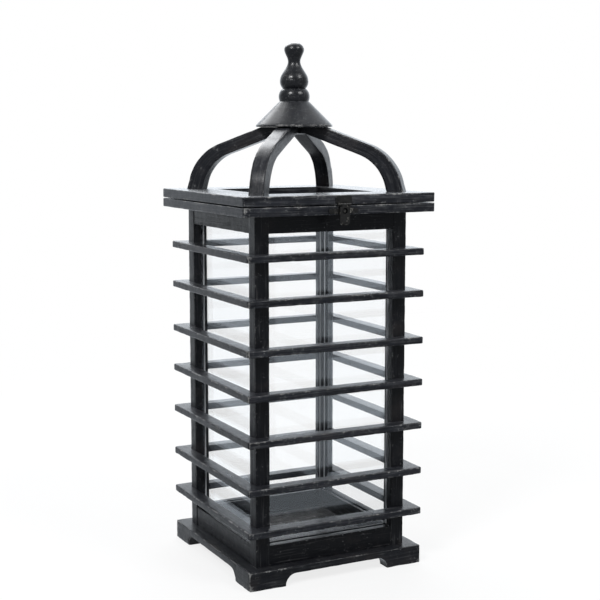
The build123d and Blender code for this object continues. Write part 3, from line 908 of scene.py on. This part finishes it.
@dataclass
class Case:
    """Posts and rails that hold the glass."""

    palette: Palette
    ease: float = 0.8 * MM
    rail_ease: float = 0.6 * MM
    rail_back_ease: float = 0.4 * MM
    lip_ease: float = 0.3 * MM
    root_ease: float = 0.15 * MM
    groove_setback: float = 8.6 * MM
    groove_width: float = 3.5 * MM
    groove_depth: float = 2.2 * MM
    step: float = 2.4 * MM
    edge_fade: float = 1.2 * MM
    post_seed: int = 31
    rail_seed: int = 71
    # Fade levels kept low: posts and rails, in the shade of the slats and lid, are painted darker, painted
    # shade on top of the stain's own fading.
    post_fade: float = 0.2
    rail_fade: float = 0.12

    def build(self) -> None:
        """Make the posts and both sets of rails."""
        for corner in Corner:
            self.post(corner)
        for side in Side:
            self.rail(side, f"bottom_rail_{side.word}", True)
            self.rail(side, f"top_rail_{side.word}", False)

    def post(self, corner: Corner) -> None:
        """Square post with a groove in each inner face, carried from the plinth to the top frame.

        Args:
            corner: Corner that the post is on.
        """
        low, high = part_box("post_front_right")
        a, b = low.x, high.x
        near = b - self.groove_setback
        far = near - self.groove_width
        deep = a + self.groove_depth
        corners = [(b, -b), (b, -a), (near, -a), (near, -deep), (far, -deep), (far, -a), (a, -a), (a, -far),
                   (deep, -far), (deep, -near), (a, -near), (a, -b)]
        groove = [self.lip_ease, self.root_ease, self.root_ease, self.lip_ease]
        radii = [self.ease, self.ease, *groove, self.ease, *groove, self.ease]
        worn = [0.75, 0.6, 0.15, 0.0, 0.0, 0.15, 0.3, 0.15, 0.0, 0.0, 0.15, 0.6]
        loop = Loop.rounded(corners, radii, worn, self.step, self.edge_fade)
        rub = Worn(seed=self.post_seed + corner.value)
        points, wear, grain = Stick(loop, low.z, high.z, rub, rings=150).rubbed()
        shell = Shell.through(turned(points, corner.value - 45.0), wear, grain)
        make_piece(f"post_{corner.word}", [shell], self.palette, Slot.WOOD, Body.CASE, self.post_fade)

    def rail(self, side: Side, node: str, groove_up: bool) -> None:
        """Rail between two posts with a groove along the edge that meets the glass.

        Args:
            side: Side that the rail is on.
            node: The CAD node that it stands for.
            groove_up: Whether the groove is on the rail's top, as on a bottom rail.
        """
        low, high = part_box(node.replace(side.word, "front"))
        post_low, post_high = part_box("post_front_right")
        outer, inner = -low.y, -high.y
        near = post_high.x - self.groove_setback
        far = near - self.groove_width
        z0, z1 = (low.z, high.z) if groove_up else (high.z, low.z)
        deep = z1 - self.groove_depth if groove_up else z1 + self.groove_depth
        corners = [(-outer, z0), (-inner, z0), (-inner, z1), (-far, z1), (-far, deep), (-near, deep),
                   (-near, z1), (-outer, z1)]
        radii = [self.rail_ease, self.rail_back_ease, self.rail_ease, self.lip_ease, self.root_ease,
                 self.root_ease, self.lip_ease, self.rail_ease]
        worn = [0.6, 0.2, 0.3, 0.2, 0.0, 0.0, 0.2, 0.7]
        if not groove_up:
            corners, radii, worn = corners[::-1], radii[::-1], worn[::-1]
        loop = Loop.rounded(corners, radii, worn, self.step, self.edge_fade)
        rub = Worn(seed=self.rail_seed + side.value)
        points, wear, grain = Stick(loop, -post_low.x, post_low.x, rub, rings=70).rubbed()
        shell = Shell.through(turned(points[..., [2, 0, 1]], side.value), wear, grain)
        make_piece(node, [shell], self.palette, Slot.WOOD, Body.CASE, self.rail_fade)


@dataclass
class SlatRings:
    """Rings of four mitred slats around the posts."""

    palette: Palette
    count: int = 7
    corner_radius: float = 3.0 * MM
    ease: float = 1.2 * MM
    first_seed: int = 101
    seed_step: int = 7
    # Higher fade level than posts and rails: the slats stand in the light, so their paler stain is partly
    # painted light, partly the stain's fading.
    fade: float = 0.9

    def build(self) -> None:
        """Make every ring as one piece of four boards."""
        for number in range(1, self.count + 1):
            node = f"slat_ring_{number}"
            low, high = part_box(node)
            depth = high.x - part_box("post_front_right")[1].x
            board = MitredBoard(high.x, depth, low.z, high.z - low.z, self.corner_radius, self.ease,
                                Worn(seed=self.first_seed + self.seed_step * number))
            shells = [board.shell(side) for side in Side]
            make_piece(node, shells, self.palette, Slot.WOOD, Body.CASE, self.fade)


@dataclass
class LidFrames:
    """Top frame on the posts and the lid frame that lifts off it."""

    palette: Palette
    corner_radius: float = 3.0 * MM
    ease: float = 1.1 * MM
    dent: float = 0.3 * MM
    step: float = 2.6 * MM
    top_seed: int = 211
    lid_seed: int = 307
    # Highest fade level of the boards: the lid and top frame catch the light from above, so their paler stain
    # is partly painted light, partly the stain's fading.
    fade: float = 1.1

    def build(self) -> None:
        """Make the four boards of both frames."""
        frames = (("top_frame", Body.CASE, self.top_seed), ("lid_rail", Body.ROOF, self.lid_seed))
        for side in Side:
            for stem, body, seed in frames:
                low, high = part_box(f"{stem}_front")
                board = MitredBoard(-low.y, high.y - low.y, low.z, high.z - low.z, self.corner_radius,
                                    self.ease, Worn(edge=self.dent, seed=seed), self.step)
                node = f"{stem}_{side.word}"
                make_piece(node, [board.shell(side)], self.palette, Slot.WOOD, body, self.fade)


@dataclass
class RoofArms:
    """Four bent arms from the lid's corners to the cap."""

    palette: Palette
    thickness: float = 16.0 * MM
    foot_centre: float = 79.05 * MM * math.sqrt(2.0)
    foot_depth: float = 18.0 * MM
    depth: float = 13.8 * MM
    lean: float = 15.0
    slope: float = 20.2
    outer_radius: float = 57.0 * MM
    inner_radius: float = 45.0 * MM
    root_depth: float = 7.0 * MM
    seat_reach: float = 35.0 * MM
    inner_ease: float = 0.7 * MM
    outer_ease: float = 1.0 * MM
    step: float = 2.0 * MM
    worn: Worn = Worn(edge=0.6 * MM, face=0.16 * MM)
    first_seed: int = 401
    # Fade level set partly by how much light the arms catch: painted light on top of the stain's own fading.
    fade: float = 0.7
    run_points: tuple[int, int, int, int] = (12, 34, 14, 10)

    def edge_line(self, foot: float, level: float, radius: float, low: float,
                  last: Sequence[tuple[float, float]]) -> Array:
        """One edge of the arm: foot line, arc, sloping line and the points under the cap.

        The foot line leans in by the lean angle, the sloping line falls by the slope angle from the seat
        reach, and the arc is tangent to both at the given radius.

        Args:
            foot: Distance of the foot's edge from the axis.
            level: Level that the sloping line has at the seat reach.
            radius: Radius of the bend.
            low: Level of the lid's top.
            last: The sloping line's end and the point that follows it.

        Returns:
            Distance and level along the edge, shape (n, 2).
        """
        lean = math.tan(math.radians(self.lean))
        slope = math.tan(math.radians(self.slope))
        rise = (level - low - slope * (foot - self.seat_reach)) / (1.0 - lean * slope)
        start = np.array([foot, low])
        bend = np.array([foot - lean * rise, low + rise])
        end, top = np.array(last)
        centre, first, second = tangent_arc(bend, start, end, radius)
        angles = [math.atan2(*(p - centre)[::-1]) for p in (first, second)]
        foot_count, arc_count, slope_count, top_count = self.run_points
        sweep = np.linspace(angles[0], angles[1], arc_count)
        arc = centre + radius * np.stack([np.cos(sweep), np.sin(sweep)], axis=1)
        foot_run = np.linspace(0.0, 1.0, foot_count)[:, None]
        slope_run = np.linspace(0.0, 1.0, slope_count)[1:, None]
        top_run = np.linspace(0.0, 1.0, top_count)[1:, None]
        return np.concatenate([
            start * (1.0 - foot_run) + first * foot_run,
            arc[1:],
            second * (1.0 - slope_run) + end * slope_run,
            end * (1.0 - top_run) + top * top_run,
        ])

    def build(self) -> None:
        """Make the four arms as a rounded section carried between the outer and inner edges."""
        low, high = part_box("arm_front_right")
        slope = math.tan(math.radians(self.slope))
        drop = self.depth / math.cos(math.radians(self.slope))
        root = high.z - self.root_depth
        root_reach = self.seat_reach + (high.z - drop - root) / slope
        foot = self.foot_depth / 2
        outer = self.edge_line(self.foot_centre + foot, high.z, self.outer_radius, low.z,
                               [(self.seat_reach, high.z), (0.0, high.z)])
        inner = self.edge_line(self.foot_centre - foot, high.z - drop, self.inner_radius, low.z,
                               [(root_reach, root), (0.0, root)])
        wide = self.thickness / 2
        loop = Loop.rounded([(0, -wide), (self.depth, -wide), (self.depth, wide), (0, wide)],
                            [self.inner_ease, self.outer_ease, self.outer_ease, self.inner_ease],
                            [0.6, 1.0, 1.0, 0.6], self.step)
        share, across = loop.spots[:, 0] / self.depth, loop.spots[:, 1]
        chord = outer - inner
        place = inner[:, None] + chord[:, None] * share[None, :, None]
        lateral = np.clip(np.broadcast_to(across, place.shape[:2]), -place[..., 0], place[..., 0])
        unit = chord / np.maximum(np.linalg.norm(chord, axis=1, keepdims=True), SMALLEST)
        push_s = unit[:, None, 0] * loop.outward[None, :, 0]
        push_z = unit[:, None, 1] * loop.outward[None, :, 0]
        push_l = np.broadcast_to(loop.outward[None, :, 1], push_s.shape)
        points = np.stack([lateral, -place[..., 0], place[..., 1]], axis=-1)
        outward = np.stack([push_l, -push_s, push_z], axis=-1)
        middle = 0.5 * (outer + inner)
        length = np.concatenate([[0.0], np.cumsum(np.linalg.norm(np.diff(middle, axis=0), axis=1))])
        edge = np.broadcast_to(loop.edge, points.shape[:2])
        for corner in Corner:
            worn = replace(self.worn, seed=self.first_seed + corner.value)
            moved, wear = worn.rub(points, outward, edge)
            moved[..., 2] = np.clip(moved[..., 2], low.z, high.z)
            run = np.broadcast_to(length[:, None], wear.shape) + grain_shift(worn.seed, 0.31, 5.0)
            grain = np.stack([run, np.broadcast_to(loop.spots[:, 0], wear.shape), points[..., 0]], axis=-1)
            shell = Shell.through(turned(moved, corner.value), wear, grain)
            make_piece(f"arm_{corner.word}", [shell], self.palette, Slot.WOOD, Body.ROOF, self.fade)


@dataclass
class Turnings:
    """Turned cap and finial on the axis.

    The bead's and pear's points, the tip's radius and the rubbed levels are in millimetres over the cap.
    """

    palette: Palette
    bore: float = 4.6 * MM
    cap_radius: float = 40.7 * MM
    cap_rim: float = 2.0 * MM
    cap_top_radius: float = 15.6 * MM
    dowel: float = 4.5 * MM
    bead: tuple[tuple[float, float], ...] = ((15.5, 0.0), (16.5, 4.2), (12.3, 13.3))
    pear: tuple[tuple[float, float], ...] = (
        (12.3, 13.3), (15.1, 22.4), (6.7, 42.3), (10.5, 54.9), (0.0, 61.7))
    tip_radius: float = 0.02
    rubbed_levels: Triple = (4.2, 22.4, 55.6)
    rub_reach: float = 1.6 * MM
    rub_share: float = 0.6
    turns: int = 96
    step: float = 1.6 * MM
    worn: Worn = Worn(edge=0.5 * MM, face=0.12 * MM, pitch=7.0 * MM)
    cap_seed: int = 503
    finial_seed: int = 601
    cap_fade: float = 0.45
    finial_fade: float = 0.36

    def turned_shell(self, profile: Array, worn: Array, seed: int) -> Shell:
        """Closed profile of radius and level turned about the axis, rubbed a little.

        Args:
            profile: Radius and level, shape (n, 2).
            worn: Nearness to a worn edge of each profile point.
            seed: Seed of the rubbing.

        Returns:
            The surface.
        """
        angle = np.linspace(0.0, 2.0 * math.pi, self.turns, endpoint=False)[:, None]
        radius, level = profile[None, :, 0], profile[None, :, 1]
        points = np.stack([radius * np.cos(angle), radius * np.sin(angle), level + 0.0 * angle], axis=-1)
        along = np.roll(profile, -1, axis=0) - np.roll(profile, 1, axis=0)
        along /= np.maximum(np.linalg.norm(along, axis=1, keepdims=True), SMALLEST)
        out_r, out_z = along[None, :, 1], -along[None, :, 0]
        outward = np.stack([out_r * np.cos(angle), out_r * np.sin(angle), out_z + 0.0 * angle], axis=-1)
        edge = np.broadcast_to(worn, points.shape[:2])
        moved, wear = replace(self.worn, seed=seed).rub(points, outward, edge)
        moved[..., 2] = np.clip(moved[..., 2], profile[:, 1].min(), profile[:, 1].max())
        grain = np.stack([points[..., 2] * 3.0, points[..., 0], points[..., 1]], axis=-1)
        return Shell.through(moved, wear, grain, closed=True)

    @staticmethod
    def smooth_line(points: Array, start: tuple[float, float], end: tuple[float, float], count: int) -> Array:
        """Cubic spline through points with given end directions, by chord length.

        Slopes at the inner points solve the tridiagonal system that makes curvature continuous.

        Args:
            points: Shape (n, 2).
            start: Direction at the first point.
            end: Direction at the last point.
            count: Number of samples.

        Returns:
            Samples, shape (count, 2).
        """
        gaps = np.linalg.norm(np.diff(points, axis=0), axis=1)
        knots = np.concatenate([[0.0], np.cumsum(gaps)])
        n = len(points)
        system, wanted = np.eye(n), np.zeros((n, 2))
        wanted[0] = np.array(start) / np.linalg.norm(start)
        wanted[-1] = np.array(end) / np.linalg.norm(end)
        for i in range(1, n - 1):
            system[i, i - 1:i + 2] = [gaps[i], 2.0 * (gaps[i - 1] + gaps[i]), gaps[i - 1]]
            before = (points[i] - points[i - 1]) / gaps[i - 1]
            after = (points[i + 1] - points[i]) / gaps[i]
            wanted[i] = 3.0 * (gaps[i] * before + gaps[i - 1] * after)
        slopes = np.linalg.solve(system, wanted)
        where = np.linspace(0.0, knots[-1], count)
        cell = np.clip(np.searchsorted(knots, where, side="right") - 1, 0, n - 2)
        t = ((where - knots[cell]) / gaps[cell])[:, None]
        span = gaps[cell][:, None]
        return ((2 * t ** 3 - 3 * t ** 2 + 1) * points[cell] + (t ** 3 - 2 * t ** 2 + t) * span * slopes[cell]
                + (3 * t ** 2 - 2 * t ** 3) * points[cell + 1] + (t ** 3 - t ** 2) * span * slopes[cell + 1])

    def build(self) -> None:
        """Make the cap and the finial."""
        low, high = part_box("cap")
        cone = Loop.rounded(
            [(self.bore, low.z), (self.cap_radius, low.z), (self.cap_radius, low.z + self.cap_rim),
             (self.cap_top_radius, high.z), (self.bore, high.z)],
            [0.2 * MM, 0.5 * MM, 0.6 * MM, 0.4 * MM, 0.2 * MM], [0.0, 1.0, 0.9, 0.3, 0.0], self.step)
        cap = self.turned_shell(cone.spots, cone.edge, self.cap_seed)
        make_piece("cap", [cap], self.palette, Slot.TURNED, Body.ROOF, self.cap_fade)
        self.finial(high.z)

    def finial(self, seat: float) -> None:
        """Make the finial: a dowel, a bead as an arc through three points, and a splined pear and knob.

        Args:
            seat: Level of the cap's top, where the bead starts.
        """
        base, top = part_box("finial")
        a, b, c = (np.array(p) for p in self.bead)
        middle = self.circle_through(a, b, c)
        angles = np.unwrap([math.atan2(*(p - middle)[::-1]) for p in (a, b, c)])
        sweep = np.linspace(angles[0], angles[2], num=22)
        bead = middle + np.linalg.norm(a - middle) * np.stack([np.cos(sweep), np.sin(sweep)], axis=1)
        pear = self.smooth_line(np.array(self.pear), start=(1.0, 1.0), end=(-1.0, 0.0), count=90)
        tip = [(self.tip_radius, self.pear[-1][1])]
        outline = np.concatenate([bead, pear[1:-1], tip]) * MM + np.array([0.0, seat])
        thin = self.tip_radius * MM
        profile = np.concatenate([[(thin, base.z), (self.dowel, base.z), (self.dowel, seat)], outline])
        profile[:, 0] = np.maximum(profile[:, 0], thin)
        profile[:, 1] = np.clip(profile[:, 1], base.z, top.z)
        level = profile[:, 1] - seat
        near = [np.exp(-np.abs(level - z * MM) / self.rub_reach) for z in self.rubbed_levels]
        worn = np.where(level > 0.0, np.max(near, axis=0) * self.rub_share, 0.0)
        shell = self.turned_shell(profile, worn, self.finial_seed)
        make_piece("finial", [shell], self.palette, Slot.TURNED, Body.ROOF, self.finial_fade)

    @staticmethod
    def circle_through(a: Array, b: Array, c: Array) -> Array:
        """Centre of the circle through three points, where two perpendicular bisectors cross."""
        system = 2.0 * np.array([b - a, c - a])
        return np.linalg.solve(system, np.array([b @ b - a @ a, c @ c - a @ a]))


@dataclass
class Fittings:
    """CAD pieces that keep their shape: glass, strips, nails, screws, hinges and latch."""

    palette: Palette
    stems: dict[str, Slot] = field(default_factory=lambda: {
        "pane_": Slot.GLASS, "glazing_": Slot.STRIP, "slat_nails": Slot.STEEL, "plinth_nails": Slot.STEEL,
        "arm_screws": Slot.STEEL, "hinge_pins": Slot.STEEL, "latch_pin": Slot.STEEL, "hinge_": Slot.BRONZE,
        "latch_": Slot.BRONZE,
    })

    def dress(self) -> None:
        """Give every such node its material and slot."""
        for name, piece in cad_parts.items():
            slot = next((slot for stem, slot in self.stems.items() if name.startswith(stem)), None)
            if slot is None:
                continue
            piece.data.materials.clear()
            piece.data.materials.append(self.palette.get(slot))
            LOG.info("%s: dressed as %s", name, slot.value)


@dataclass(frozen=True)
class Lamp:
    """Square soft lamp aimed at a level on the axis."""

    name: str
    place: Triple
    aim_level: float
    size: float
    power: float

    def build(self) -> None:
        """Hang the lamp in the scene."""
        light = bpy.data.lights.new(self.name, "AREA")
        light.size = self.size
        light.energy = self.power
        holder = bpy.data.objects.new(self.name, light)
        aim = np.array([0.0, 0.0, self.aim_level]) - np.array(self.place)
        aim /= np.linalg.norm(aim)
        holder.location = self.place
        holder.rotation_euler = (math.acos(-aim[2]), 0.0, math.atan2(aim[1], aim[0]) - math.pi / 2)
        bpy.context.scene.collection.objects.link(holder)


@dataclass
class Studio:
    """Pale floor, soft lamps, white surroundings and the camera."""

    floor_half: float = 1.5
    floor_fade: tuple[float, float] = (0.35, 1.2)
    floor_glow: float = 0.8
    floor_colour: Triple = (0.92, 0.92, 0.92)
    floor_roughness: float = 0.9
    floor_specular: float = 0.1
    camera_place: Triple = (-0.603466, -1.197753, 0.459121)
    camera_yaw: float = -27.004
    camera_pitch: float = -7.677
    lens: float = 75.231
    sensor: float = 36.0
    surround: float = 0.32
    bright_side: Triple = (0.50, 0.80, 0.33)
    bright_span: tuple[float, float] = (0.20, 0.85)
    table_span: tuple[float, float] = (-0.22, 0.0)
    table_loss: float = 0.25
    room_tint: Triple = (0.90, 0.95, 1.0)
    lamps: tuple[Lamp, ...] = (
        Lamp("key", (-1.6, -1.0, 1.9), 0.30, 0.6, 30.0),
        Lamp("front", (0.9, -1.7, 2.0), 0.35, 0.9, 22.0),
        Lamp("top", (0.3, 1.2, 1.9), 0.2, 1.6, 30.0),
    )

    def build(self) -> None:
        """Set up everything around the lantern."""
        self.floor()
        self.world()
        for lamp in self.lamps:
            lamp.build()
        self.camera()

    def floor(self) -> None:
        """Pale sheet on the level of the feet that fades into the white surroundings."""
        mesh = bpy.data.meshes.new("floor")
        h = self.floor_half
        corners = np.array([(-h, -h, 0.0), (h, -h, 0.0), (h, h, 0.0), (-h, h, 0.0)])
        mesh.from_pydata(corners, [], [[0, 1, 2, 3]])
        material, g = new_material("floor")
        away = g.node("ShaderNodeVectorMath", {"operation": "LENGTH"}, g.place(), pick="Value")
        sheet = g.principled(Base_Color=rgba(self.floor_colour),
                       Roughness=self.floor_roughness, Specular_IOR_Level=self.floor_specular,
                       Alpha=1.0 - away.ramp(*self.floor_fade))
        glow = g.node("ShaderNodeEmission", {}, rgba(WHITE), 1.0)
        seen = g.ray("Is Camera Ray")
        g.surface(g.blended(seen * self.floor_glow, sheet, glow))
        mesh.materials.append(material)
        floor = bpy.data.objects.new("floor", mesh)
        bpy.context.scene.collection.objects.link(floor)
        floor.visible_diffuse = False
        floor.visible_glossy = False

    def world(self) -> None:
        """White surroundings to the camera and through glass.

        Rough surfaces mirror them bright behind the lantern and dark in front. Sharp mirrors, as on glass,
        show a white table that dims a little towards the horizon.
        """
        world = bpy.data.worlds.new("studio")
        world.use_nodes = True
        g = Graph(world.node_tree)
        rays = ("Is Camera Ray", "Is Transmission Ray", "Is Glossy Ray", "Is Singular Ray")
        camera, through, glossy, sharp = (g.ray(name) for name in rays)
        towards = g.node("ShaderNodeVectorMath", {"operation": "DOT_PRODUCT"}, g.place(), self.bright_side,
                         pick="Value")
        backdrop = towards.ramp(*self.bright_span)
        level = g.node("ShaderNodeSeparateXYZ", {}, g.place(), pick="Z")
        table = 1.0 - self.table_loss * level.ramp(*self.table_span)
        white = (camera + through + glossy * (sharp * table + (1.0 - sharp) * backdrop)).clamped()
        strength = self.surround + (1.0 - self.surround) * white
        colour = g.mixed((camera + through).clamped(), rgba(self.room_tint), rgba(WHITE))
        g.node("ShaderNodeOutputWorld", {}, g.node("ShaderNodeBackground", {}, colour, strength))
        bpy.context.scene.world = world

    def camera(self) -> None:
        """Camera solved from the photograph's corners."""
        data = bpy.data.cameras.new("camera")
        data.lens = self.lens
        data.sensor_width = self.sensor
        holder = bpy.data.objects.new("camera", data)
        holder.location = self.camera_place
        holder.rotation_euler = (math.radians(90.0 + self.camera_pitch), 0.0, math.radians(self.camera_yaw))
        bpy.context.scene.collection.objects.link(holder)
        bpy.context.scene.camera = holder
        bpy.context.scene.view_settings.view_transform = "Standard"


def main() -> None:
    """Build the lantern's looks in order, then the studio."""
    logging.basicConfig(level=logging.INFO, format="%(name)s %(message)s")
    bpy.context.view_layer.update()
    palette = Palette()
    for kind in (Plinth, Case, SlatRings, LidFrames, RoofArms, Turnings):
        LOG.info("building %s", kind.__name__)
        kind(palette).build()
    Fittings(palette).dress()
    Studio().build()


if __name__ == "__main__":
    main()
